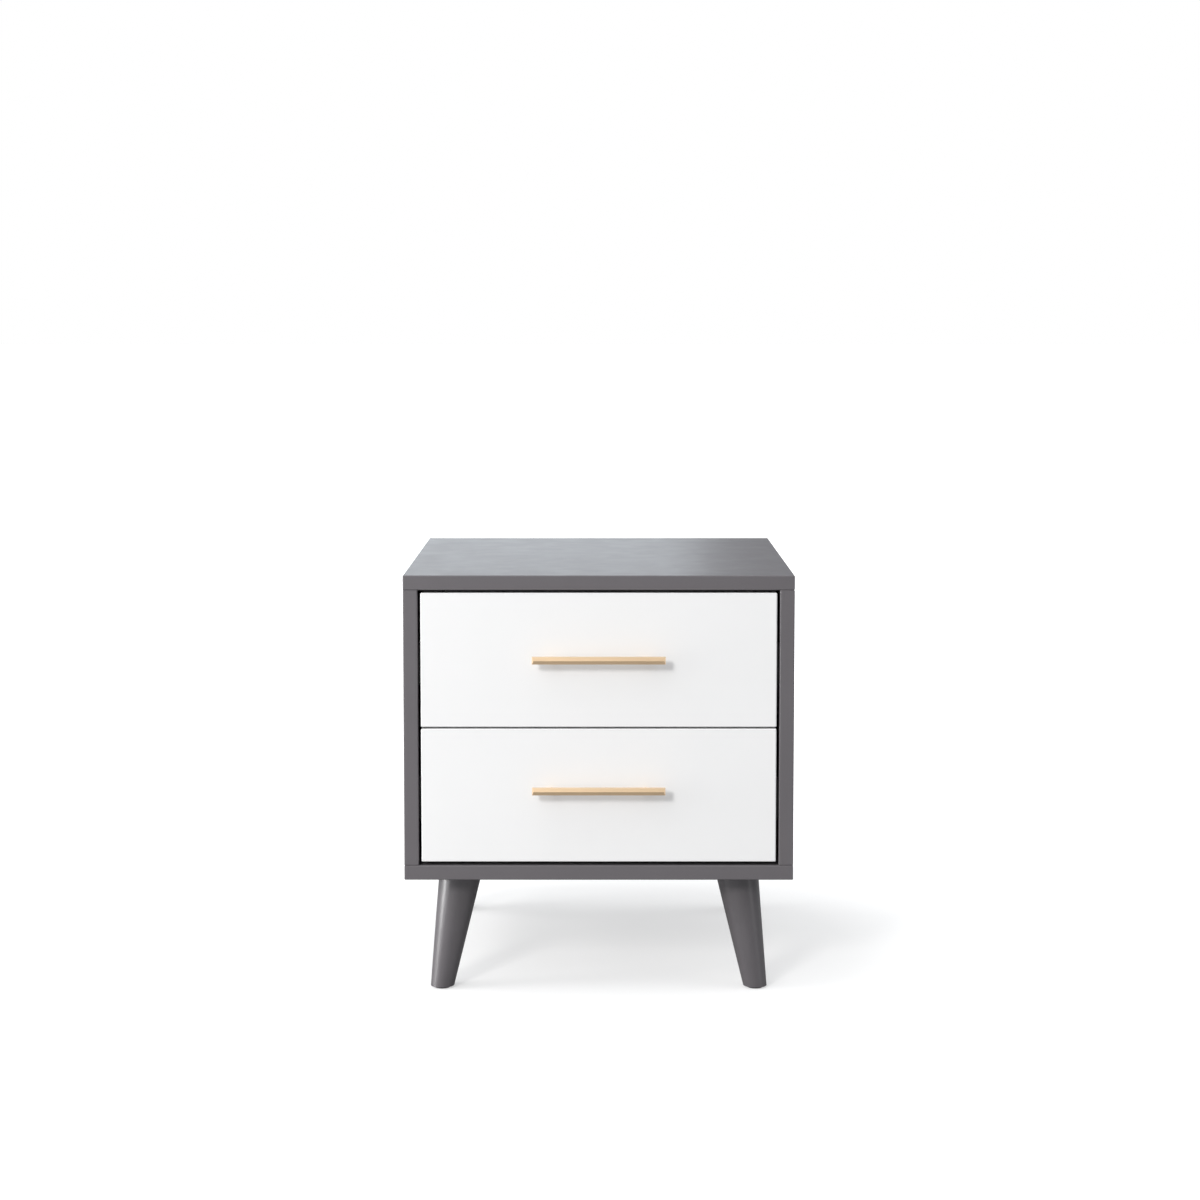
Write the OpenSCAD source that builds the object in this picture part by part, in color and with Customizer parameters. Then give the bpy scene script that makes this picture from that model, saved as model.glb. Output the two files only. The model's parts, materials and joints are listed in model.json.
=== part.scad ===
// Nightstand with two drawers: a melamine cabinet on four splayed, tapered legs.
// Each drawer runs on a pair of three-section ball bearing slides.
// Origin: on the floor, at the centre of the footprint, handles included. The fronts face -Y and +Z is up.
// Millimetres.

/* [Cabinet] */
// Width of the cabinet
cabinet_w = 400; // [360:10:500]
// Depth of the cabinet, without the handles
cabinet_d = 400; // [395:5:450]
// Height of the cabinet, without the legs
cabinet_h = 315; // [305:5:345]
// Thickness of the cabinet's boards and of the drawer fronts
board_t = 15; // [15:0.5:16]
// Chamfer on the banded edges of every board
edge_chamfer = 0.8; // [0.3:0.1:0.8]
// Thickness of the back panel
back_t = 3; // [3:0.5:4]

/* [Legs] */
// Height of a leg with its glide
leg_h = 120; // [90:5:150]
// Thickness of a glide under a foot
glide_t = 2; // [1.5:0.5:3]
// Diameter of a leg at its top
leg_top_d = 45; // [40:1:50]
// Diameter of a leg at the floor
leg_foot_d = 24; // [20:1:28]
// Distance from the cabinet's edges to the centre of a leg's top
leg_top_inset = 55; // [50:1:70]
// Distance from the cabinet's edges to the centre of a leg's foot
leg_foot_inset = 36; // [28:1:50]

/* [Drawers] */
// Gap between the top panel and the upper front
gap_top = 3; // [2:0.5:5]
// Gap between the two fronts
gap_between = 2; // [2:0.5:5]
// Gap between the lower front and the bottom panel
gap_bottom = 4; // [2:0.5:6]
// Gap on each side of a front
gap_side = 3; // [2:0.5:4]
// Height of a drawer box's sides
box_h = 100; // [90:5:105]
// Length of a drawer box's sides
box_l = 350; // [350:1:352]
// Thickness of a drawer box's sides and back
box_t = 12; // [12:0.5:13]
// Thickness of a drawer's bottom
bottom_t = 3; // [3:0.5:4]

/* [Handles] */
// Length of a handle's bar
handle_l = 136; // [120:2:200]
// Height of a handle's bar, between its flat top and bottom
handle_h = 7.5; // [7:0.5:10]
// How far a handle stands out of its front
handle_out = 20; // [20:1:30]
// Distance between the posts of a handle
handle_pitch = 96; // [64:32:96]
// Diameter of a post
post_d = 5; // [4.5:0.5:6]

/* [Slides] */
// Length of a slide
slide_l = 350; // [350:1:350]
// Space that a slide fills between a cabinet side and a drawer box
slide_t = 13; // [13:0.5:13]
// Balls in each row of a ball cage
balls_per_row = 7; // [4:1:8]

/* [Hidden] */
$fn = 48;
LOWER = 0;
UPPER = 1;
LEFT = -1;
RIGHT = 1;
FRONT = 0;
REAR = 1;

fit = 0.05;          // radial clearance of a pin or screw in its hole
cut = 1;             // how far a cutter runs past the face that it opens

// Cabinet frame
plate_t = 2;
under_z = leg_h + plate_t;
top_z = under_z + cabinet_h;
inner_x = cabinet_w / 2 - board_t;
inner_z0 = under_z + board_t;
inner_z1 = top_z - board_t;
front_y = (handle_out - cabinet_d) / 2;
back_y = front_y + cabinet_d;

// Back panel and its groove
back_inset = 10;
groove_d = 5;
groove_play = 0.2;
edge_play = 0.3;

// Knock-down fittings of the cabinet
cam_reach = 24;
bolt_thread_l = 11;
cabinet_cam = [15, 12.5];            // diameter and depth of the pocket
drawer_cam = [15, 9.5];
dowel_d = 8;
dowel_l = 28;
dowel_in_panel = 10.5;
bolt_ys = [front_y + 40, back_y - 52];
dowel_ys = [front_y + 72, back_y - 84];

// Drawer frame
front_w = 2 * (inner_x - gap_side);
front_h = (inner_z1 - inner_z0 - gap_top - gap_between - gap_bottom) / 2;
box_raise = 13;
box_x = inner_x - slide_t;
box_y0 = front_y + board_t;
box_y1 = box_y0 + box_l;
bottom_rise = 10;
drawer_cam_zs = [24, box_h - 20];
back_screw_zs = [27, box_h - 20];
back_screw = [3.5, 7, 35];           // shank diameter, head diameter, length
bottom_screw_x = 80;

// Handles: height of a handle's centre above its front's lower edge, lower drawer first
handle_rise = [76.5, 71];
handle_screw = [3, 6.5, 2, 22];      // shank diameter, head diameter, head height, length under the head
bar_depth = handle_h * 2 / sqrt(3);
bar_chamfer = [1.5, 2.6];            // at a bar's ends: cut off along it, and back from its front edge
post_drop = 1.2;                     // how far the posts sit below the middle of the bar
spigot = [3.5, 4.5];                 // diameter and length

// Slides. u runs from the cabinet side towards the drawer, v upwards from the slide's middle line.
slide_y0 = box_y0 + 1;
runner_l = slide_l - 4;
steel_t = 1.2;
cage_l = 96;
ball_pitch = 12.5;
outer_ball = [4.85, 19.15, 2];       // u, v and radius
inner_ball = [6.4, 13.9, 1.75];
rail_screw = [4, 7, 13];             // shank diameter, head diameter, length
rail_screw_ys = [28, 156, 316];
runner_screw = [3.5, 7, 1.6, 10];    // shank diameter, head diameter, head height, length in the wood
runner_screw_ys = [44, 172, 300];
access_d = 9;

// Legs
plate_w = 62;
plate_hole = 22;
plate_screw = [4, 7.5, 14];
hanger_d = 8;
hanger_down = 40;
hanger_up = 9;
bush_d = 12;
bush_l = 9;
pocket_d = 20;
pocket_h = 11;
glide_d = 18;
glide_pin = [3, 12];                 // diameter and length
leg_splay = leg_top_inset - leg_foot_inset;
leg_tilt = atan(leg_splay * sqrt(2) / leg_h);

function front_z(i) = inner_z0 + gap_bottom + i * (front_h + gap_between);
function box_z(i) = front_z(i) + box_raise;
function handle_z(i) = front_z(i) + handle_rise[i];
function post_z(i) = handle_z(i) - post_drop;
function slide_z(i) = box_z(i) + box_h / 2;

// ---------- shared shapes ----------

// A rectangle with its corners cut off
module cut_rectangle(w, h, c) {
    polygon([[c, 0], [w - c, 0], [w, c], [w, h - c], [w - c, h], [c, h], [0, h - c], [0, c]]);
}

// A board with a small chamfer on all twelve edges, from its lowest corner
module board(size) {
    c = edge_chamfer;
    intersection() {
        linear_extrude(size[2]) cut_rectangle(size[0], size[1], c);
        translate([0, size[1], 0]) rotate([90, 0, 0])
            linear_extrude(size[1]) cut_rectangle(size[0], size[2], c);
        rotate([90, 0, 90]) linear_extrude(size[0]) cut_rectangle(size[1], size[2], c);
    }
}

// A cross recess cut down from z = 0
module cross_recess(size, depth) {
    for (turn = [0, 90])
        rotate([0, 0, turn])
            translate([-size / 2, -size / 10, -depth]) cube([size, size / 5, depth + cut]);
}

// A countersunk screw, head up, with its flat top at z = 0. s is shank diameter, head diameter, length.
module flat_screw(s) {
    head_h = (s[1] - s[0]) / 2;
    tip_h = s[0] / 2;
    difference() {
        union() {
            translate([0, 0, -head_h]) cylinder(h = head_h, d1 = s[0], d2 = s[1]);
            translate([0, 0, tip_h - s[2]]) cylinder(h = s[2] - head_h - tip_h, d = s[0]);
            translate([0, 0, -s[2]]) cylinder(h = tip_h, d1 = 0.6, d2 = s[0]);
        }
        cross_recess(s[1] * 0.55, head_h * 0.7);
    }
}

// The hole that a countersunk screw needs
module flat_screw_hole(s) {
    head_h = (s[1] - s[0]) / 2;
    translate([0, 0, -head_h]) cylinder(h = head_h, d1 = s[0] + 2 * fit, d2 = s[1] + 2 * fit);
    cylinder(h = cut, d = s[1] + 2 * fit);
    translate([0, 0, -s[2] - 0.5]) cylinder(h = s[2] + 0.5 - head_h, d = s[0] + 2 * fit);
}

// A pan head screw, head up, with the face under its head at z = 0.
// s is shank diameter, head diameter, head height, length under the head.
module pan_screw(s) {
    crown = s[2] / 3;
    difference() {
        union() {
            cylinder(h = s[2] - crown, d = s[1]);
            translate([0, 0, s[2] - crown]) cylinder(h = crown, d1 = s[1], d2 = s[1] - 2 * crown);
            translate([0, 0, -s[3]]) cylinder(h = s[3], d = s[0]);
        }
        translate([0, 0, s[2]]) cross_recess(s[1] * 0.5, s[2] * 0.6);
    }
}

// ---------- knock-down fittings ----------
// In a fitting's own frame the joint plane is z = 0, +z runs into the board that holds the cam,
// and the cam's face is at x = t / 2, where t is that board's thickness.

module cam_lock(t, pocket) {
    play = 0.1;
    bore_d = pocket[1] * 0.58;
    difference() {
        translate([t / 2 - pocket[1] + play, 0, cam_reach]) rotate([0, 90, 0])
            cylinder(h = pocket[1] - 2 * play, d = pocket[0] - 2 * play);
        translate([0, 0, cam_reach - pocket[0]]) cylinder(h = pocket[0] + 2, d = bore_d);
        translate([t / 2 - play, 0, cam_reach]) rotate([0, 90, 0]) cross_recess(7, 1.4);
    }
}

module cam_bolt(pocket) {
    head_d = pocket[1] * 0.5;
    neck_z = cam_reach - 6;
    translate([0, 0, -bolt_thread_l + 0.3]) cylinder(h = bolt_thread_l - 0.3, d = 5);
    cylinder(h = neck_z, d = head_d);
    translate([0, 0, neck_z]) cylinder(h = 4, d = head_d * 0.6);
    translate([0, 0, neck_z + 4]) cylinder(h = 3.5, d = head_d);
}

// Pocket and bolt hole in the board that holds the cam
module cam_side_holes(t, pocket) {
    translate([t / 2 - pocket[1], 0, cam_reach]) rotate([0, 90, 0])
        cylinder(h = pocket[1] + cut, d = pocket[0]);
    translate([0, 0, -cut]) cylinder(h = cam_reach + cut, d = pocket[1] * 0.5 + 1);
}

// Hole for the bolt's thread in the board on the other side of the joint
module cam_bolt_hole() {
    translate([0, 0, -bolt_thread_l]) cylinder(h = bolt_thread_l + cut, d = 5 + 2 * fit);
}

module dowel() {
    c = 1;
    translate([0, 0, -dowel_in_panel]) {
        cylinder(h = c, d1 = dowel_d - 2 * c, d2 = dowel_d);
        translate([0, 0, c]) cylinder(h = dowel_l - 2 * c, d = dowel_d);
        translate([0, 0, dowel_l - c]) cylinder(h = c, d1 = dowel_d, d2 = dowel_d - 2 * c);
    }
}

module dowel_hole() {
    translate([0, 0, -dowel_in_panel - 0.5]) cylinder(h = dowel_l + 1, d = dowel_d + 2 * fit);
}

// Places children at the joints between the side panels and one end panel; end 0 is the bottom, 1 the top
module at_panel_joints(side, end, ys) {
    for (y = ys)
        translate([side * (inner_x + board_t / 2), y, end == 0 ? inner_z0 : inner_z1])
            mirror([side == RIGHT ? 1 : 0, 0, 0]) mirror([0, 0, end]) children();
}

module at_all_panel_joints(ys) {
    for (side = [LEFT, RIGHT], end = [0, 1]) at_panel_joints(side, end, ys) children();
}

// Places children at the joints between a drawer front and one side
module at_front_joints(i, side) {
    for (z = drawer_cam_zs)
        translate([side * (box_x - box_t / 2), box_y0, box_z(i) + z])
            mirror([side == LEFT ? 1 : 0, 0, 0]) rotate([-90, 0, 0]) children();
}

// Places a screw, head outwards, where a drawer side meets the drawer back
module at_back_joints(i, side) {
    for (z = back_screw_zs)
        translate([side * box_x, box_y1 - box_t / 2, box_z(i) + z])
            mirror([side == LEFT ? 1 : 0, 0, 0]) rotate([0, 90, 0]) children();
}

// Places a screw, head down, where a drawer's bottom meets the lower edge of its back
module at_bottom_joints(i) {
    for (side = [LEFT, RIGHT])
        translate([side * bottom_screw_x, box_y1 - box_t / 2, box_z(i) + bottom_rise])
            mirror([0, 0, 1]) children();
}

// ---------- cabinet ----------

module back_groove() {
    w = 2 * (inner_x + groove_d);
    h = inner_z1 - inner_z0 + 2 * groove_d;
    translate([-w / 2, back_y - back_inset - back_t - groove_play / 2, inner_z0 - groove_d])
        cube([w, back_t + groove_play, h]);
}

module end_panel(end) {
    z = end == 0 ? under_z : inner_z1;
    translate([-cabinet_w / 2, front_y, z]) board([cabinet_w, cabinet_d, board_t]);
}

module top_panel() {
    color("#6d6a6e") difference() {
        end_panel(1);
        back_groove();
        for (side = [LEFT, RIGHT]) {
            at_panel_joints(side, 1, bolt_ys) cam_bolt_hole();
            at_panel_joints(side, 1, dowel_ys) dowel_hole();
        }
    }
}

module bottom_panel() {
    color("#6d6a6e") difference() {
        end_panel(0);
        back_groove();
        for (side = [LEFT, RIGHT]) {
            at_panel_joints(side, 0, bolt_ys) cam_bolt_hole();
            at_panel_joints(side, 0, dowel_ys) dowel_hole();
        }
        for (side = [LEFT, RIGHT], end = [FRONT, REAR]) at_leg(side, end, under_z) {
            translate([0, 0, -cut]) cylinder(h = pocket_h + cut, d = pocket_d);
            at_plate_screws() flat_screw_hole(plate_screw);
        }
    }
}

module side_panel(side) {
    color("#6d6a6e") difference() {
        translate([side == LEFT ? -cabinet_w / 2 : inner_x, front_y, inner_z0])
            board([board_t, cabinet_d, inner_z1 - inner_z0]);
        back_groove();
        for (end = [0, 1]) {
            at_panel_joints(side, end, bolt_ys) cam_side_holes(board_t, cabinet_cam);
            at_panel_joints(side, end, dowel_ys) dowel_hole();
        }
        for (i = [LOWER, UPPER]) at_slide(i, side) at_rail_screws() flat_screw_hole(rail_screw);
    }
}

module back_panel() {
    w = 2 * (inner_x + groove_d - edge_play);
    h = inner_z1 - inner_z0 + 2 * (groove_d - edge_play);
    color("#77747a") translate([-w / 2, back_y - back_inset - back_t, inner_z0 - groove_d + edge_play])
        cube([w, back_t, h]);
}

module cabinet_cam_locks() {
    color("silver") at_all_panel_joints(bolt_ys) cam_lock(board_t, cabinet_cam);
}

module cabinet_cam_bolts() {
    color("goldenrod") at_all_panel_joints(bolt_ys) cam_bolt(cabinet_cam);
}

module cabinet_dowels() {
    color("burlywood") at_all_panel_joints(dowel_ys) dowel();
}

// ---------- legs ----------

// Places children over a leg's top, at height z, with +x and +y pointing inwards
module at_leg(side, end, z) {
    y = end == FRONT ? front_y + leg_top_inset : back_y - leg_top_inset;
    translate([side * (cabinet_w / 2 - leg_top_inset), y, z])
        mirror([side == RIGHT ? 1 : 0, 0, 0]) mirror([0, end == REAR ? 1 : 0, 0]) children();
}

// Turns +z to the leg's own axis, which leans inwards as it rises
module along_leg() {
    rotate([0, 0, 45]) rotate([0, leg_tilt, 0]) children();
}

module at_plate_screws() {
    for (x = [-plate_hole, plate_hole], y = [-plate_hole, plate_hole])
        translate([x, y, -plate_t]) mirror([0, 0, 1]) children();
}

module leg(side, end) {
    axis_l = leg_h / cos(leg_tilt);
    over = 12;
    taper = (leg_top_d - leg_foot_d) / axis_l;
    color("#57535a") at_leg(side, end, leg_h) difference() {
        intersection() {
            along_leg() translate([0, 0, -axis_l - over])
                cylinder(h = axis_l + 2 * over, d1 = leg_foot_d - over * taper,
                    d2 = leg_top_d + over * taper);
            translate([-cabinet_w / 2, -cabinet_w / 2, glide_t - leg_h])
                cube([cabinet_w, cabinet_w, leg_h - glide_t]);
        }
        along_leg() translate([0, 0, -hanger_down - 2])
            cylinder(h = hanger_down + 20, d = hanger_d + 2 * fit);
        at_foot() translate([0, 0, -cut])
            cylinder(h = glide_pin[1] + cut + 0.5, d = glide_pin[0] + 2 * fit);
    }
}

// Places children at the middle of a foot's timber, in a leg's frame
module at_foot() {
    reach = leg_splay * (1 - glide_t / leg_h);
    translate([-reach, -reach, glide_t - leg_h]) children();
}

module foot_glides() {
    c = glide_t / 2;
    color("#3a3a3c") for (side = [LEFT, RIGHT], end = [FRONT, REAR]) at_leg(side, end, leg_h) at_foot() {
        translate([0, 0, -c]) cylinder(h = c, d = glide_d);
        translate([0, 0, -glide_t]) cylinder(h = glide_t - c, d1 = glide_d - 2 * c, d2 = glide_d);
        cylinder(h = glide_pin[1], d = glide_pin[0]);
    }
}

module leg_plate(side, end) {
    corner = 6;
    color("dimgray") at_leg(side, end, leg_h) difference() {
        union() {
            translate([-plate_w / 2, -plate_w / 2, 0])
                linear_extrude(plate_t) cut_rectangle(plate_w, plate_w, corner);
            intersection() {
                along_leg() translate([0, 0, -bush_l]) cylinder(h = 2 * bush_l, d = bush_d);
                translate([-plate_w / 2, -plate_w / 2, 0]) cube([plate_w, plate_w, pocket_h]);
            }
        }
        along_leg() translate([0, 0, -bush_l]) cylinder(h = 3 * bush_l, d = hanger_d + 2 * fit);
        translate([0, 0, plate_t]) at_plate_screws() flat_screw_hole(plate_screw);
    }
}

module leg_hanger_bolts() {
    color("silver") for (side = [LEFT, RIGHT], end = [FRONT, REAR]) at_leg(side, end, leg_h) along_leg()
        translate([0, 0, -hanger_down]) cylinder(h = hanger_down + hanger_up, d = hanger_d);
}

module leg_plate_screws() {
    color("silver") for (side = [LEFT, RIGHT], end = [FRONT, REAR])
        at_leg(side, end, under_z) at_plate_screws() flat_screw(plate_screw);
}

// ---------- slides ----------

// Places children at a slide's front end and middle line, with +x as u
module at_slide(i, side) {
    translate([side * inner_x, slide_y0, slide_z(i)])
        mirror([side == RIGHT ? 1 : 0, 0, 0]) children();
}

// A rolled section along +y: half is the upper half of its outline, in u and v
module section(half, l) {
    lower = [for (k = [len(half) - 1:-1:0]) [half[k][0], -half[k][1]]];
    translate([0, l, 0]) rotate([90, 0, 0]) linear_extrude(l) polygon(concat(half, lower));
}

rail_half = [
    [0, 21], [1.5, 22.5], [8.2, 22.5], [9.7, 21], [9.7, 20],
    [8.5, 20], [8.5, 20.5], [7.7, 21.3], [2, 21.3], [steel_t, 20.5],
];
middle_half = [
    [2.4, 15.8], [3.6, 17], [9, 17], [10.2, 15.8], [10.2, 14.9],
    [9, 14.9], [9, 15.3], [8.5, 15.8], [4.1, 15.8], [3.6, 15.3],
];
runner_half = [
    [slide_t, 10.8], [slide_t - steel_t, 12], [5, 12], [5, 10.8], [11.3, 10.8], [slide_t - steel_t, 10.3],
];
outer_cage_half = [[1.5, 19.45], [8.2, 19.45], [8.2, 18.85], [2.1, 18.85]];
inner_cage_half = [[3.9, 14.2], [8.7, 14.2], [8.7, 13.6], [4.5, 13.6]];

// Screws through the rail's web, heads towards the drawer
module at_rail_screws() {
    for (y = rail_screw_ys) translate([steel_t - 0.05, y, 0]) rotate([0, 90, 0]) children();
}

// Screws through the runner's web, heads towards the cabinet
module at_runner_screws() {
    for (y = runner_screw_ys) translate([slide_t - steel_t, y, 0]) rotate([0, -90, 0]) children();
}

// A round or slotted opening through a web, along +x
module web_slot(y, z, d, l, depth) {
    for (end = [-1, 1])
        translate([-cut, y + end * (l - d) / 2, z]) rotate([0, 90, 0]) cylinder(h = depth, d = d);
    translate([-cut, y - (l - d) / 2, z - d / 2]) cube([depth, l - d, d]);
}

module slide_rail(i, side) {
    stop_h = 10;
    color("#2b2c2e") at_slide(i, side) difference() {
        union() {
            section(rail_half, slide_l);
            translate([steel_t / 2, slide_l - steel_t, -stop_h / 2]) cube([7, steel_t, stop_h]);
        }
        at_rail_screws() flat_screw_hole(rail_screw);
        for (y = [88, 250]) web_slot(y, 0, 4.5, 12, 4);
    }
}

module slide_middle(i, side) {
    color("#37383a") at_slide(i, side) difference() {
        section(middle_half, runner_l);
        for (y = rail_screw_ys) translate([0, y, 0]) rotate([0, 90, 0]) cylinder(h = 5, d = access_d);
    }
}

module slide_runner(i, side) {
    color("#2b2c2e") at_slide(i, side) difference() {
        section(runner_half, runner_l);
        at_runner_screws() translate([0, 0, -5]) cylinder(h = 10, d = runner_screw[0] + 2 * fit);
        for (y = rail_screw_ys) translate([10, 0, 0]) web_slot(y, 0, access_d, access_d + 4, 5);
    }
}

module ball_cage(half, ball) {
    y0 = (runner_l - cage_l) / 2;
    hole_r = ball[2] + 0.1;
    first = cage_l / 2 - (balls_per_row - 1) / 2 * ball_pitch;
    translate([0, y0, 0]) {
        difference() {
            section(half, cage_l);
            for (k = [0:balls_per_row - 1])
                translate([ball[0], first + k * ball_pitch, -25]) cylinder(h = 50, r = hole_r);
        }
        for (k = [0:balls_per_row - 1], v = [-ball[1], ball[1]])
            translate([ball[0], first + k * ball_pitch, v]) sphere(r = ball[2]);
    }
}

module outer_ball_cages(i) {
    color("#d8c27a") for (side = [LEFT, RIGHT]) at_slide(i, side) ball_cage(outer_cage_half, outer_ball);
}

module inner_ball_cages(i) {
    color("#d8c27a") for (side = [LEFT, RIGHT]) at_slide(i, side) ball_cage(inner_cage_half, inner_ball);
}

module slide_rail_screws() {
    color("silver") for (i = [LOWER, UPPER], side = [LEFT, RIGHT])
        at_slide(i, side) at_rail_screws() flat_screw(rail_screw);
}

module runner_screws(i) {
    color("silver") for (side = [LEFT, RIGHT]) at_slide(i, side) at_runner_screws() runner_pan_screw();
}

// The runner screw's length counts from the drawer side's face, so the web's thickness is added
module runner_pan_screw() {
    s = runner_screw;
    pan_screw([s[0], s[1], s[2], s[3] + steel_t]);
}

// ---------- drawers ----------

module bottom_groove(i) {
    x = box_x - box_t + groove_d;
    translate([-x, box_y0 - groove_d, box_z(i) + bottom_rise - groove_play / 2])
        cube([2 * x, box_l + groove_d + cut, bottom_t + groove_play]);
}

module drawer_front(i) {
    color("#f4f4f4") difference() {
        translate([-front_w / 2, front_y, front_z(i)]) board([front_w, board_t, front_h]);
        bottom_groove(i);
        for (side = [LEFT, RIGHT]) {
            at_front_joints(i, side) cam_bolt_hole();
            translate([side * handle_pitch / 2, front_y - cut, post_z(i)]) rotate([-90, 0, 0])
                cylinder(h = board_t + 2 * cut, d = handle_screw[0] + 0.6);
        }
    }
}

module drawer_side(i, side) {
    color("#e9e8e6") difference() {
        translate([side == LEFT ? -box_x : box_x - box_t, box_y0, box_z(i)]) board([box_t, box_l, box_h]);
        bottom_groove(i);
        at_front_joints(i, side) cam_side_holes(box_t, drawer_cam);
        at_back_joints(i, side) flat_screw_hole(back_screw);
        at_slide(i, side) at_runner_screws()
            translate([0, 0, -runner_screw[3] - steel_t - 0.5])
                cylinder(h = runner_screw[3] + 4, d = runner_screw[0] + 2 * fit);
    }
}

module drawer_back(i) {
    w = 2 * (box_x - box_t);
    z0 = bottom_rise + bottom_t + groove_play;
    color("#e9e8e6") difference() {
        translate([-w / 2, box_y1 - box_t, box_z(i) + z0]) board([w, box_t, box_h - z0]);
        for (side = [LEFT, RIGHT]) at_back_joints(i, side) flat_screw_hole(back_screw);
        at_bottom_joints(i) flat_screw_hole(back_screw);
    }
}

module drawer_bottom(i) {
    x = box_x - box_t + groove_d - edge_play;
    y0 = box_y0 - groove_d + edge_play;
    color("#efeeec") difference() {
        translate([-x, y0, box_z(i) + bottom_rise]) cube([2 * x, box_y1 - y0, bottom_t]);
        at_bottom_joints(i) flat_screw_hole(back_screw);
    }
}

module drawer_cam_locks(i) {
    color("silver") for (side = [LEFT, RIGHT]) at_front_joints(i, side) cam_lock(box_t, drawer_cam);
}

module drawer_cam_bolts(i) {
    color("goldenrod") for (side = [LEFT, RIGHT]) at_front_joints(i, side) cam_bolt(drawer_cam);
}

module drawer_back_screws(i) {
    color("silver") {
        for (side = [LEFT, RIGHT]) at_back_joints(i, side) flat_screw(back_screw);
        at_bottom_joints(i) flat_screw(back_screw);
    }
}

// ---------- handles ----------

// Places children at the centre of a handle's bar
module at_handle(i) {
    translate([0, front_y - handle_out + bar_depth / 2, handle_z(i)]) children();
}

// A six-sided bar along x with an edge to the front, made long enough to cut with
module bar_prism(l, grow) {
    translate([-l / 2, 0, 0]) rotate([0, 90, 0]) rotate([0, 0, 90])
        cylinder(h = l, d = bar_depth + grow, $fn = 6);
}

// Where a post's own axis, along +z, runs from the drawer front out to the bar
module at_posts(i) {
    for (side = [LEFT, RIGHT])
        translate([side * handle_pitch / 2, front_y, post_z(i)]) rotate([90, 0, 0]) children();
}

module handle_bar(i) {
    end = handle_l / 2;
    edge = bar_depth / 2;
    shoulder = [end - bar_chamfer[0], edge - bar_chamfer[1]];
    spigot_z = handle_out - bar_depth;
    color("#c9a66b") difference() {
        at_handle(i) intersection() {
            bar_prism(handle_l, 0);
            translate([0, 0, -handle_h / 2]) linear_extrude(handle_h) polygon([
                [-end, -shoulder[1]], [-shoulder[0], -edge], [shoulder[0], -edge], [end, -shoulder[1]],
                [end, shoulder[1]], [shoulder[0], edge], [-shoulder[0], edge], [-end, shoulder[1]]]);
        }
        at_posts(i) cylinder(h = spigot_z + spigot[1] + 0.2, d = spigot[0] + 2 * fit);
    }
}

module handle_posts(i) {
    reach = handle_out - bar_depth / 2;
    bore_l = handle_screw[3] - board_t + 1;
    spigot_z = handle_out - bar_depth;
    color("#c9a66b") difference() {
        union() {
            difference() {
                at_posts(i) cylinder(h = reach, d = post_d);
                at_handle(i) bar_prism(handle_l + 2 * cut, 2 * fit);
            }
            at_posts(i) cylinder(h = spigot_z + spigot[1], d = spigot[0]);
        }
        at_posts(i) translate([0, 0, -cut]) cylinder(h = bore_l + cut, d = handle_screw[0] + 2 * fit);
    }
}

module handle_screws(i) {
    color("silver") for (side = [LEFT, RIGHT])
        translate([side * handle_pitch / 2, box_y0, post_z(i)]) rotate([-90, 0, 0]) pan_screw(handle_screw);
}

// ---------- nodes ----------

top_panel();
bottom_panel();
side_panel(LEFT);  // left_side_panel
side_panel(RIGHT);  // right_side_panel
back_panel();
cabinet_cam_locks();
cabinet_cam_bolts();
cabinet_dowels();

leg(LEFT, FRONT);  // front_left_leg
leg(RIGHT, FRONT);  // front_right_leg
leg(LEFT, REAR);  // rear_left_leg
leg(RIGHT, REAR);  // rear_right_leg
leg_plate(LEFT, FRONT);  // front_left_leg_plate
leg_plate(RIGHT, FRONT);  // front_right_leg_plate
leg_plate(LEFT, REAR);  // rear_left_leg_plate
leg_plate(RIGHT, REAR);  // rear_right_leg_plate
leg_hanger_bolts();
leg_plate_screws();
foot_glides();

slide_rail(UPPER, LEFT);  // upper_left_slide_rail
slide_rail(UPPER, RIGHT);  // upper_right_slide_rail
slide_rail(LOWER, LEFT);  // lower_left_slide_rail
slide_rail(LOWER, RIGHT);  // lower_right_slide_rail
slide_rail_screws();
slide_middle(UPPER, LEFT);  // upper_left_slide_middle
slide_middle(UPPER, RIGHT);  // upper_right_slide_middle
slide_middle(LOWER, LEFT);  // lower_left_slide_middle
slide_middle(LOWER, RIGHT);  // lower_right_slide_middle
outer_ball_cages(UPPER);  // upper_outer_ball_cages
outer_ball_cages(LOWER);  // lower_outer_ball_cages
inner_ball_cages(UPPER);  // upper_inner_ball_cages
inner_ball_cages(LOWER);  // lower_inner_ball_cages
slide_runner(UPPER, LEFT);  // upper_left_slide_runner
slide_runner(UPPER, RIGHT);  // upper_right_slide_runner
slide_runner(LOWER, LEFT);  // lower_left_slide_runner
slide_runner(LOWER, RIGHT);  // lower_right_slide_runner

drawer_front(UPPER);  // upper_drawer_front
drawer_side(UPPER, LEFT);  // upper_drawer_left_side
drawer_side(UPPER, RIGHT);  // upper_drawer_right_side
drawer_back(UPPER);  // upper_drawer_back
drawer_bottom(UPPER);  // upper_drawer_bottom
drawer_cam_locks(UPPER);  // upper_drawer_cam_locks
drawer_cam_bolts(UPPER);  // upper_drawer_cam_bolts
drawer_back_screws(UPPER);  // upper_drawer_back_screws
runner_screws(UPPER);  // upper_runner_screws
handle_bar(UPPER);  // upper_handle_bar
handle_posts(UPPER);  // upper_handle_posts
handle_screws(UPPER);  // upper_handle_screws

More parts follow.
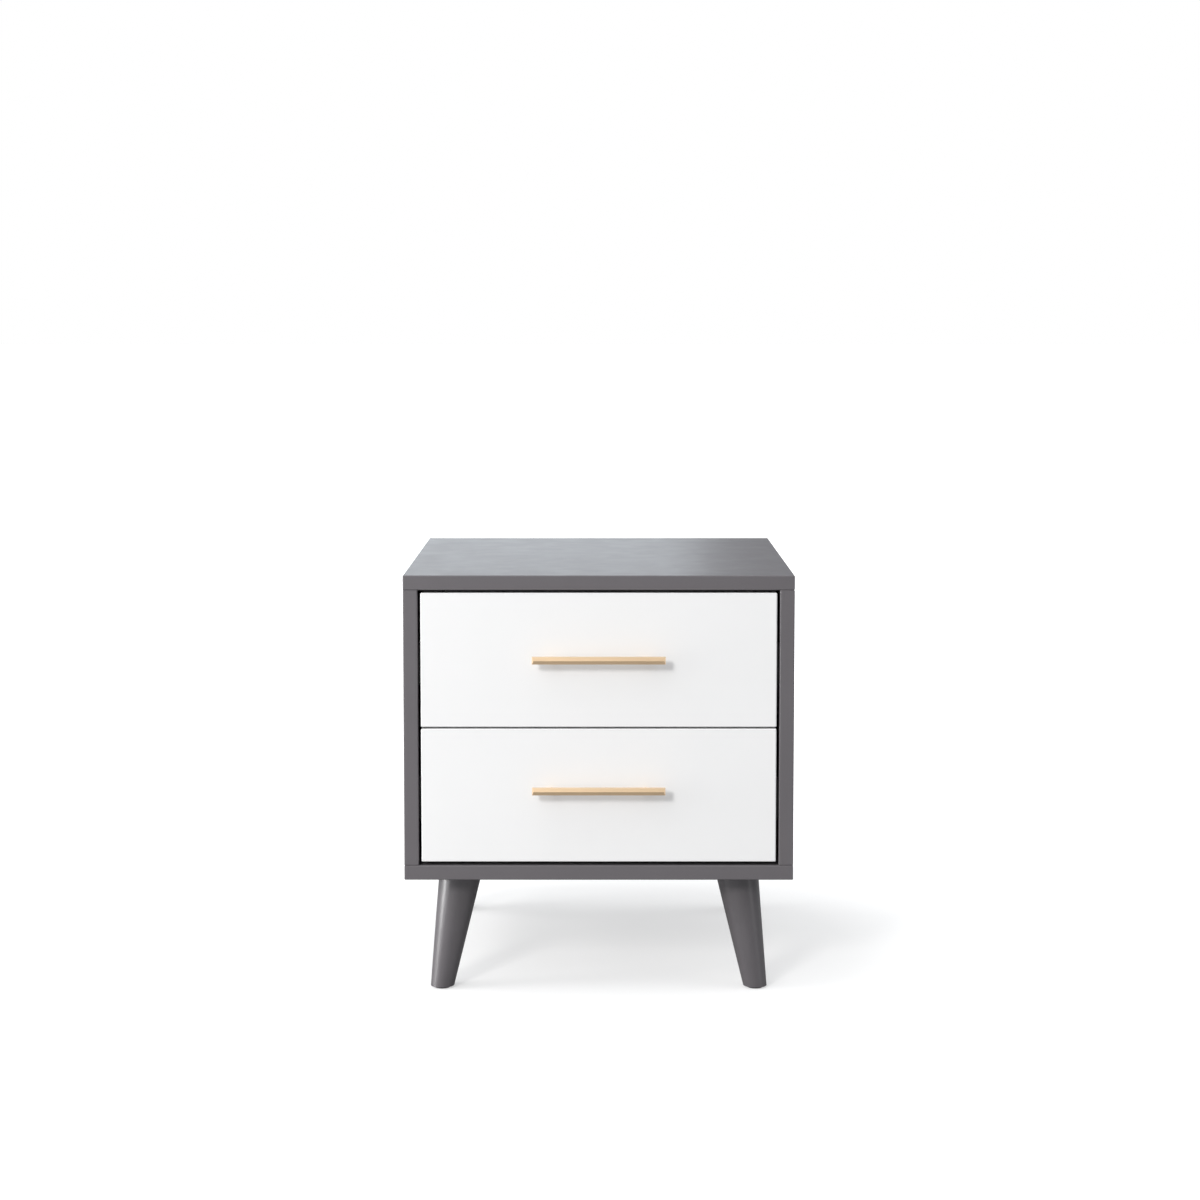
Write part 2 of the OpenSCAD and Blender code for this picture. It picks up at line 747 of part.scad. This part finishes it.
drawer_front(LOWER);  // lower_drawer_front
drawer_side(LOWER, LEFT);  // lower_drawer_left_side
drawer_side(LOWER, RIGHT);  // lower_drawer_right_side
drawer_back(LOWER);  // lower_drawer_back
drawer_bottom(LOWER);  // lower_drawer_bottom
drawer_cam_locks(LOWER);  // lower_drawer_cam_locks
drawer_cam_bolts(LOWER);  // lower_drawer_cam_bolts
drawer_back_screws(LOWER);  // lower_drawer_back_screws
runner_screws(LOWER);  // lower_runner_screws
handle_bar(LOWER);  // lower_handle_bar
handle_posts(LOWER);  // lower_handle_posts
handle_screws(LOWER);  // lower_handle_screws
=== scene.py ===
"""Looks of the two-drawer nightstand: materials, rounded legs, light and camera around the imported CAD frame."""

import json
import math

import bpy
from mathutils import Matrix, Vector


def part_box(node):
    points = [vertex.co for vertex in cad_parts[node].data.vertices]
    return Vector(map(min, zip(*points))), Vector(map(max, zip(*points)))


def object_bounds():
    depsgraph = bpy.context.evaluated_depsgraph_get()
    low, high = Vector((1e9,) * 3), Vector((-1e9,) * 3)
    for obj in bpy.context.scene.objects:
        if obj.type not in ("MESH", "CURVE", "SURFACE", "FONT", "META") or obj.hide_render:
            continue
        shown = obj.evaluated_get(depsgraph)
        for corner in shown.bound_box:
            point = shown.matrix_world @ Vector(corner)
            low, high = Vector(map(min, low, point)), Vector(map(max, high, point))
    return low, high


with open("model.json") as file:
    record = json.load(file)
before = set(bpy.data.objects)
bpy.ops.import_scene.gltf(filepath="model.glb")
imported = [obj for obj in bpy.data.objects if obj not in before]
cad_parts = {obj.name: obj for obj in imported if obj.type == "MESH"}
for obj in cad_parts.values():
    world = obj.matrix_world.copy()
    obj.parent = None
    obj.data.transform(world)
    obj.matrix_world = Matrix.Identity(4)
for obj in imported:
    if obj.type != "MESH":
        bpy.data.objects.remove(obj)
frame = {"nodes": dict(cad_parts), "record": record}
cad_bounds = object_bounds()
nodes = frame["nodes"]

MM = 0.001
LEVELS = ("upper", "lower")
SIDES = ("left", "right")
ENDS = ("front", "rear")


# ---------- shader helpers ----------

class Shader:
    """A node material with one Principled BSDF, and short ways to feed it."""

    def __init__(self, name, roughness, metallic=0.0, **constants):
        self.material = bpy.data.materials.new(name)
        self.material.use_nodes = True
        self.tree = self.material.node_tree
        self.bsdf = self.tree.nodes["Principled BSDF"]
        self.set(self.bsdf, Roughness=roughness, Metallic=metallic)
        for socket, value in constants.items():
            self.bsdf.inputs[socket.replace("_", " ")].default_value = value
        self.place = self.add("ShaderNodeTexCoord").outputs["Object"]

    def add(self, kind, **inputs):
        node = self.tree.nodes.new(kind)
        self.set(node, **inputs)
        return node

    def set(self, node, **inputs):
        for socket, value in inputs.items():
            self.feed(node.inputs[socket], value)

    def feed(self, socket, value):
        if isinstance(value, bpy.types.NodeSocket):
            self.tree.links.new(value, socket)
        elif hasattr(value, "__len__") and len(socket.default_value) == 4:
            socket.default_value = (*value[:3], 1.0)
        else:
            socket.default_value = value

    def math(self, operation, first, second=0.0, third=0.0):
        node = self.add("ShaderNodeMath")
        node.operation = operation
        for socket, value in zip(node.inputs, (first, second, third)):
            self.feed(socket, value)
        return node.outputs[0]

    def stretched(self, stretch):
        """Object coordinates times stretch, so a small number draws the pattern out along that axis."""
        node = self.add("ShaderNodeMapping", Vector=self.place)
        node.inputs["Scale"].default_value = stretch
        return node.outputs["Vector"]

    def noise(self, size, stretch=(1, 1, 1), detail=3.0, rough=0.55):
        """Noise whose blotches are about size metres across."""
        node = self.add("ShaderNodeTexNoise", Vector=self.stretched(stretch))
        self.set(node, Scale=1 / size, Detail=detail, Roughness=rough)
        return node.outputs["Fac"]

    def spread(self, value, low, high, from_low=0.3, from_high=0.7):
        """value, carried from its usual range to low..high."""
        node = self.add("ShaderNodeMapRange")
        for socket, number in zip(node.inputs, (value, from_low, from_high, low, high)):
            self.feed(socket, number)
        return node.outputs["Result"]

    def mix(self, share, first, second):
        node = self.add("ShaderNodeMix")
        node.data_type = "RGBA"
        self.feed(node.inputs["Factor"], share)
        colours = [s for s in node.inputs if s.type == "RGBA"]
        for socket, value in zip(colours, (first, second)):
            self.feed(socket, value)
        return [s for s in node.outputs if s.type == "RGBA"][0]

    def bump(self, height, distance, strength=1.0, before=None):
        node = self.add("ShaderNodeBump", Height=height, Distance=distance, Strength=strength)
        if before is not None:
            self.feed(node.inputs["Normal"], before)
        return node.outputs["Normal"]

    def axis(self, index):
        """One coordinate of the place, in metres."""
        return self.add("ShaderNodeSeparateXYZ", Vector=self.place).outputs[index]

    def colour(self, value):
        self.feed(self.bsdf.inputs["Base Color"], value)

    def roughness(self, value):
        self.feed(self.bsdf.inputs["Roughness"], value)

    def normal(self, value):
        self.feed(self.bsdf.inputs["Normal"], value)


def shade(colour, factor):
    return tuple(min(1.0, c * factor) for c in colour)


# ---------- materials ----------

BAND = 1.0 * MM                         # thickness of the edge banding, whose glue line shows round each face
GLUE_LINE = (0.05 * MM, 0.18 * MM)      # half widths of the glue line: fully drawn, and faded out


def seam_mask(s, node, skip):
    """1 on the thin glue line between a board's face and its edge banding, else 0. skip is the thin axis."""
    low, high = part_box(node)
    lines = []
    for index in range(3):
        if index == skip:
            continue
        middle, half = (low[index] + high[index]) / 2, (high[index] - low[index]) / 2
        from_middle = s.math("ABSOLUTE", s.math("SUBTRACT", s.axis(index), middle))
        lines.append(s.math("ABSOLUTE", s.math("SUBTRACT", from_middle, half - BAND)))
    nearest = s.math("MINIMUM", *lines)
    return s.spread(nearest, 1.0, 0.0, *GLUE_LINE)


def thin_axis(node):
    low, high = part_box(node)
    return min(range(3), key=lambda index: high[index] - low[index])


def board(node, name, colour, roughness, pearl, seam, grain_size=0.6 * MM, speckle=0.05):
    """A melamine or lacquered board: cloudy colour, a fine pearl texture and the glue lines of its banding."""
    s = Shader(name, roughness)
    cloud = s.spread(s.noise(70 * MM, detail=2.0), 0.0, 1.0)
    specks = s.spread(s.noise(grain_size, detail=4.0, rough=0.7), 0.0, 1.0)
    base = s.mix(cloud, shade(colour, 1 - speckle / 2), shade(colour, 1 + speckle / 2))
    base = s.mix(s.math("MULTIPLY", specks, speckle), base, shade(colour, 0.4))
    line = seam_mask(s, node, thin_axis(node))
    s.colour(s.mix(s.math("MULTIPLY", line, seam), base, shade(colour, 0.45)))
    s.roughness(s.spread(s.noise(25 * MM, detail=2.0), roughness * (1 - speckle), roughness * (1 + speckle)))
    texture = s.bump(s.noise(0.9 * MM, detail=2.0), pearl)
    s.normal(s.bump(line, 0.05 * MM, strength=-0.5, before=texture))
    return s.material


def fibreboard(name, colour, roughness):
    """Thin fibreboard with a printed face, and short pressed fibres under it."""
    s = Shader(name, roughness)
    fibres = s.noise(1.4 * MM, stretch=(1, 0.35, 0.35), detail=5.0, rough=0.7)
    cloud = s.noise(90 * MM, detail=2.0)
    base = s.mix(s.spread(cloud, 0.0, 1.0), shade(colour, 0.95), shade(colour, 1.05))
    s.colour(s.mix(s.spread(fibres, 0.0, 0.12), base, shade(colour, 0.35)))
    s.roughness(s.spread(fibres, roughness * 0.88, roughness * 1.1))
    s.normal(s.bump(fibres, 0.05 * MM))
    return s.material


def painted_leg(name, colour):
    """Satin paint over turned beech: the grain shows as faint long pores, and the lathe as faint rings."""
    s = Shader(name, 0.36, Coat_Weight=0.7, Coat_Roughness=0.24)
    pores = s.noise(0.8 * MM, stretch=(1, 1, 0.06), detail=3.0)
    cloud = s.noise(24 * MM, stretch=(1, 1, 0.3), detail=2.0)
    base = s.mix(s.spread(cloud, 0.0, 1.0), shade(colour, 0.93), shade(colour, 1.07))
    s.colour(s.mix(s.spread(pores, 0.12, 0.0, 0.3, 0.45), base, shade(colour, 0.5)))
    s.roughness(s.spread(pores, 0.33, 0.40))
    rings = s.noise(2.5 * MM, stretch=(0.02, 0.02, 1), detail=2.0)
    s.normal(s.bump(pores, 0.03 * MM, before=s.bump(rings, 0.015 * MM)))
    return s.material


def brushed_gold(name, colour):
    """Satin gold lacquer on metal, brushed along the bar."""
    s = Shader(name, 0.31, metallic=1.0, Coat_Weight=0.6, Coat_Roughness=0.14)
    strokes = s.noise(0.12 * MM, stretch=(0.006, 1, 1), detail=4.0, rough=0.65)
    cloud = s.noise(30 * MM, detail=2.0)
    base = s.mix(s.spread(cloud, 0.0, 1.0), shade(colour, 0.98), shade(colour, 1.02))
    s.colour(s.mix(s.spread(strokes, 0.0, 0.05), base, shade(colour, 0.6)))
    s.roughness(s.spread(strokes, 0.28, 0.34))
    s.normal(s.bump(strokes, 0.002 * MM))
    return s.material


def coated_steel(name, colour):
    """A thin black dip coat on rolled steel: rolling marks along the slide, and dusty, worn patches."""
    s = Shader(name, 0.34, Coat_Weight=0.3, Coat_Roughness=0.15)
    streaks = s.noise(0.6 * MM, stretch=(1, 0.02, 1), detail=4.0, rough=0.6)
    wear = s.spread(s.noise(28 * MM, stretch=(1, 0.3, 1), detail=5.0, rough=0.65), 0.0, 1.0, 0.5, 0.75)
    base = s.mix(s.spread(streaks, 0.0, 1.0), shade(colour, 0.85), shade(colour, 1.2))
    s.colour(s.mix(wear, base, shade(colour, 2.0)))
    s.roughness(s.spread(streaks, 0.28, 0.42))
    s.normal(s.bump(streaks, 0.01 * MM))
    return s.material


def cast_metal(name, colour, roughness, grain=0.5 * MM, metallic=1.0):
    """Small plated or cast pieces, with a fine grain and slightly duller patches."""
    s = Shader(name, roughness, metallic=metallic)
    specks = s.noise(grain, detail=4.0, rough=0.65)
    patches = s.spread(s.noise(4 * MM, detail=3.0), 0.0, 1.0)
    base = s.mix(patches, shade(colour, 0.9), shade(colour, 1.05))
    s.colour(s.mix(s.spread(specks, 0.0, 0.25), base, shade(colour, 0.5)))
    s.roughness(s.spread(specks, roughness * 0.8, roughness * 1.3))
    s.normal(s.bump(specks, 0.02 * MM))
    return s.material


def powder_coat(name, colour):
    """Powder coat with its orange peel."""
    s = Shader(name, 0.5)
    peel = s.noise(1.2 * MM, detail=1.5)
    s.colour(s.mix(s.spread(s.noise(12 * MM), 0.0, 1.0), shade(colour, 0.9), shade(colour, 1.1)))
    s.roughness(s.spread(peel, 0.45, 0.58))
    s.normal(s.bump(peel, 0.06 * MM))
    return s.material


def moulded_nylon(name, colour):
    """Dull moulded nylon, scuffed where it meets the floor."""
    s = Shader(name, 0.6)
    scuffs = s.noise(1.5 * MM, stretch=(1, 0.2, 1), detail=4.0)
    s.colour(s.mix(s.spread(scuffs, 0.0, 0.5), colour, shade(colour, 2.2)))
    s.roughness(s.spread(scuffs, 0.5, 0.75))
    s.normal(s.bump(scuffs, 0.04 * MM))
    return s.material


def raw_beech(name, colour):
    """Raw beech with long grain and short darker flecks."""
    s = Shader(name, 0.65)
    grain = s.noise(1.2 * MM, stretch=(1, 1, 0.1), detail=4.0)
    flecks = s.noise(0.7 * MM, stretch=(1, 1, 0.3), detail=2.0)
    base = s.mix(s.spread(grain, 0.0, 1.0), shade(colour, 0.8), shade(colour, 1.1))
    s.colour(s.mix(s.spread(flecks, 0.0, 0.5, 0.55, 0.7), base, shade(colour, 0.5)))
    s.normal(s.bump(grain, 0.05 * MM))
    return s.material


GREY = (0.129, 0.120, 0.128)
LEG_GREY = (0.096, 0.088, 0.095)
WHITE = (0.85, 0.85, 0.85)
BOX_WHITE = (0.76, 0.75, 0.73)
GOLD = (0.93, 0.68, 0.43)


def paint(node, material):
    mesh = nodes[node].data
    mesh.materials.clear()
    mesh.materials.append(material)


def paint_boards():
    for node in ("top_panel", "bottom_panel", "left_side_panel", "right_side_panel"):
        paint(node, board(node, f"grey_board_{node}", GREY, 0.40, 0.005 * MM, seam=0.35))
    for level in LEVELS:
        front = f"{level}_drawer_front"
        paint(front, board(front, f"white_board_{front}", WHITE, 0.38, 0.003 * MM, seam=0.12, speckle=0.01))
        for part in ("left_side", "right_side", "back"):
            node = f"{level}_drawer_{part}"
            paint(node, board(node, f"box_board_{node}", BOX_WHITE, 0.48, 0.012 * MM, seam=0.25, speckle=0.02))


def paint_shared():
    """Materials that several nodes share, by the record's own slots."""
    shared = {
        "back_board": fibreboard("back_board", (0.17, 0.16, 0.17), 0.6),
        "bottom_board": fibreboard("bottom_board", (0.78, 0.77, 0.75), 0.5),
        "leg_wood": painted_leg("leg_paint", LEG_GREY),
        "dowel_wood": raw_beech("raw_beech", (0.56, 0.38, 0.22)),
        "handle_gold": brushed_gold("brushed_gold", GOLD),
        "slide_steel": coated_steel("coated_steel", (0.030, 0.030, 0.032)),
        "cage_steel": cast_metal("cage_steel", (0.60, 0.58, 0.52), 0.22),
        "plate_steel": powder_coat("powder_coat", (0.022, 0.021, 0.023)),
        "screw_steel": cast_metal("screw_steel", (0.62, 0.60, 0.55), 0.28),
        "cam_metal": cast_metal("cam_metal", (0.52, 0.52, 0.53), 0.42),
        "glide_plastic": moulded_nylon("glide_nylon", (0.02, 0.02, 0.022)),
    }
    for part in frame["record"]["subparts"]:
        if part["material_slot"] in shared:
            paint(part["node"], shared[part["material_slot"]])


# ---------- meshes ----------

LEG_ROUNDING = 0.8 * MM


def soften(node, width, segments):
    """Rounds a CAD node's sharp edges a little, so that they catch the light as real ones do."""
    piece = nodes[node]
    weld = piece.modifiers.new("weld", "WELD")
    weld.merge_threshold = 0.002 * MM
    bevel = piece.modifiers.new("bevel", "BEVEL")
    bevel.limit_method = "ANGLE"
    bevel.angle_limit = math.radians(35)
    bevel.width = width
    bevel.segments = segments
    bevel.use_clamp_overlap = True
    weighted = piece.modifiers.new("weighted", "WEIGHTED_NORMAL")
    weighted.keep_sharp = True


# ---------- stage, light and camera ----------

PAPER = (0.5, 0.5, 0.5)
NEUTRAL = (1.0, 1.0, 1.0)
WARM = (1.0, 0.98, 0.96)
COOL = (0.91, 0.99, 1.04)
FLOOR_BOUNCE = (0.32, 0.32, 0.32)    # the light that the floor gives back to the object
FLOOR_PAINTED_GLOW = 0.52                    # painted glow of the floor near the object, seen only by the camera: weaker than farther out, so the floor round the nightstand is painted darker
FLOOR_FADE = (0.28, 0.75)            # metres from the middle over which the painted glow rises to full strength and the floor turns pure white
CAMERA_AWAY = 2.4636                 # metres in front of the drawer fronts
CAMERA_HEIGHT = 0.7124
CAMERA_TILT = 4.694                  # degrees down


def make_floor():
    """White studio paper with a painted glow that only the camera sees. The glow shows the paper as pure white,
    but it is weaker near the nightstand, so a darker patch is painted round it as well as its real shadow. Other
    rays see a plain dim diffuse floor.
    """
    reach = 40.0
    mesh = bpy.data.meshes.new("floor")
    corners = [(-reach, -reach, 0), (reach, -reach, 0), (reach, reach, 0), (-reach, reach, 0)]
    mesh.from_pydata(corners, [], [(0, 1, 2, 3)])
    floor = bpy.data.objects.new("floor", mesh)
    bpy.context.scene.collection.objects.link(floor)
    s = Shader("floor_paper_painted_glow", 0.9, Specular_IOR_Level=0.0)
    s.colour(s.mix(s.spread(s.noise(0.4), 0.0, 1.0), shade(PAPER, 0.99), shade(PAPER, 1.01)))
    from_middle = s.add("ShaderNodeVectorMath", Vector=s.place)
    from_middle.operation = "LENGTH"
    # painted glow: emission that only the camera sees, weaker near the nightstand, so the floor round it is
    # painted darker
    painted_glow = s.spread(from_middle.outputs["Value"], FLOOR_PAINTED_GLOW, 1.0, *FLOOR_FADE)
    s.set(s.bsdf, **{"Emission Color": (1.0, 1.0, 1.0), "Emission Strength": painted_glow})
    bounce = s.add("ShaderNodeBsdfDiffuse", Color=FLOOR_BOUNCE)
    seen = s.add("ShaderNodeMixShader", Fac=s.add("ShaderNodeLightPath").outputs["Is Camera Ray"])
    s.feed(seen.inputs[1], bounce.outputs[0])
    s.feed(seen.inputs[2], s.bsdf.outputs[0])
    s.feed(s.tree.nodes["Material Output"].inputs["Surface"], seen.outputs[0])
    mesh.materials.append(s.material)


def area_light(name, place, target, width, height, power, tint):
    data = bpy.data.lights.new(name, "AREA")
    data.shape = "RECTANGLE"
    data.size = width
    data.size_y = height
    data.energy = power
    data.color = tint
    light = bpy.data.objects.new(name, data)
    light.location = place
    light.rotation_euler = (Vector(target) - Vector(place)).to_track_quat("-Z", "Y").to_euler()
    light.visible_camera = False
    bpy.context.scene.collection.objects.link(light)


def sky_light(name, direction, angle, strength):
    """A soft light from far away, angle degrees across."""
    data = bpy.data.lights.new(name, "SUN")
    data.angle = math.radians(angle)
    data.energy = strength
    light = bpy.data.objects.new(name, data)
    light.rotation_euler = (-direction).to_track_quat("-Z", "Y").to_euler()
    bpy.context.scene.collection.objects.link(light)


def make_world():
    """A white studio: the background is plain white, and lights the object a little less than it shows."""
    world = bpy.data.worlds.new("studio")
    bpy.context.scene.world = world
    world.use_nodes = True
    tree = world.node_tree
    backdrop = tree.nodes["Background"]
    backdrop.inputs["Color"].default_value = (1, 1, 1, 1)
    backdrop.inputs["Strength"].default_value = 1.0
    ambient = tree.nodes.new("ShaderNodeBackground")
    ambient.inputs["Color"].default_value = (0.95, 0.99, 1.04, 1)
    ambient.inputs["Strength"].default_value = 0.39
    mix = tree.nodes.new("ShaderNodeMixShader")
    path = tree.nodes.new("ShaderNodeLightPath")
    tree.links.new(path.outputs["Is Camera Ray"], mix.inputs["Fac"])
    tree.links.new(ambient.outputs[0], mix.inputs[1])
    tree.links.new(backdrop.outputs[0], mix.inputs[2])
    tree.links.new(mix.outputs[0], tree.nodes["World Output"].inputs["Surface"])


def towards(azimuth, elevation):
    """A direction from the object: azimuth 0 is in front, 90 on its right and 180 behind, in degrees."""
    turn, rise = math.radians(azimuth), math.radians(elevation)
    return Vector((math.sin(turn) * math.cos(rise), -math.cos(turn) * math.cos(rise), math.sin(rise)))


def make_lights():
    low, high = cad_bounds
    middle = (low + high) / 2
    # direction in degrees, distance and size in metres, power in watts
    for name, azimuth, elevation, distance, width, height, power in (
        ("key", -25, 25, 4.5, 0.8, 0.8, 85),
        ("strip_left", -78, 3, 1.9, 0.5, 1.0, 18),
        ("strip_front_left", -60, 5, 2.2, 0.6, 1.4, 8),
        ("card_left", -90, 12, 2.2, 1.6, 1.4, 22),
        ("strip_right", 60, 5, 2.2, 0.6, 1.4, 2.5),
        ("card_behind", 193.0, 9, 3.0, 1.85, 1.0, 14),
    ):
        tint = COOL if name == "card_behind" else WARM if name == "key" else NEUTRAL
        area_light(name, middle + towards(azimuth, elevation) * distance, middle, width, height, power, tint)
    for name, azimuth, elevation, angle, strength in (
        ("sky_overhead", 0, 90, 50, 0.65),
        ("sky_front_left", -38, 46, 40, 0.62),
        ("sky_left", -90, 45, 40, 0.42),
        ("sky_right", 90, 45, 40, 0.46),
    ):
        sky_light(name, towards(azimuth, elevation), angle, strength)


def make_camera():
    """A long lens, a little above the nightstand, tilted down at it and shifted down a little."""
    front_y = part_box("upper_drawer_front")[0][1]
    data = bpy.data.cameras.new("camera")
    data.sensor_width = 36.0
    data.lens = 73.0
    data.shift_x = 0.00107
    data.shift_y = -0.08
    data.clip_end = 100.0
    camera = bpy.data.objects.new("camera", data)
    camera.location = (0.0, front_y - CAMERA_AWAY, CAMERA_HEIGHT)
    camera.rotation_euler = (math.radians(90 - CAMERA_TILT), 0.0, 0.0)
    bpy.context.scene.collection.objects.link(camera)
    bpy.context.scene.camera = camera


bpy.context.scene.view_settings.view_transform = "Standard"
make_camera()
make_world()
make_lights()
make_floor()
paint_boards()
paint_shared()
for end in ENDS:
    for side in SIDES:
        soften(f"{end}_{side}_leg", LEG_ROUNDING, segments=3)
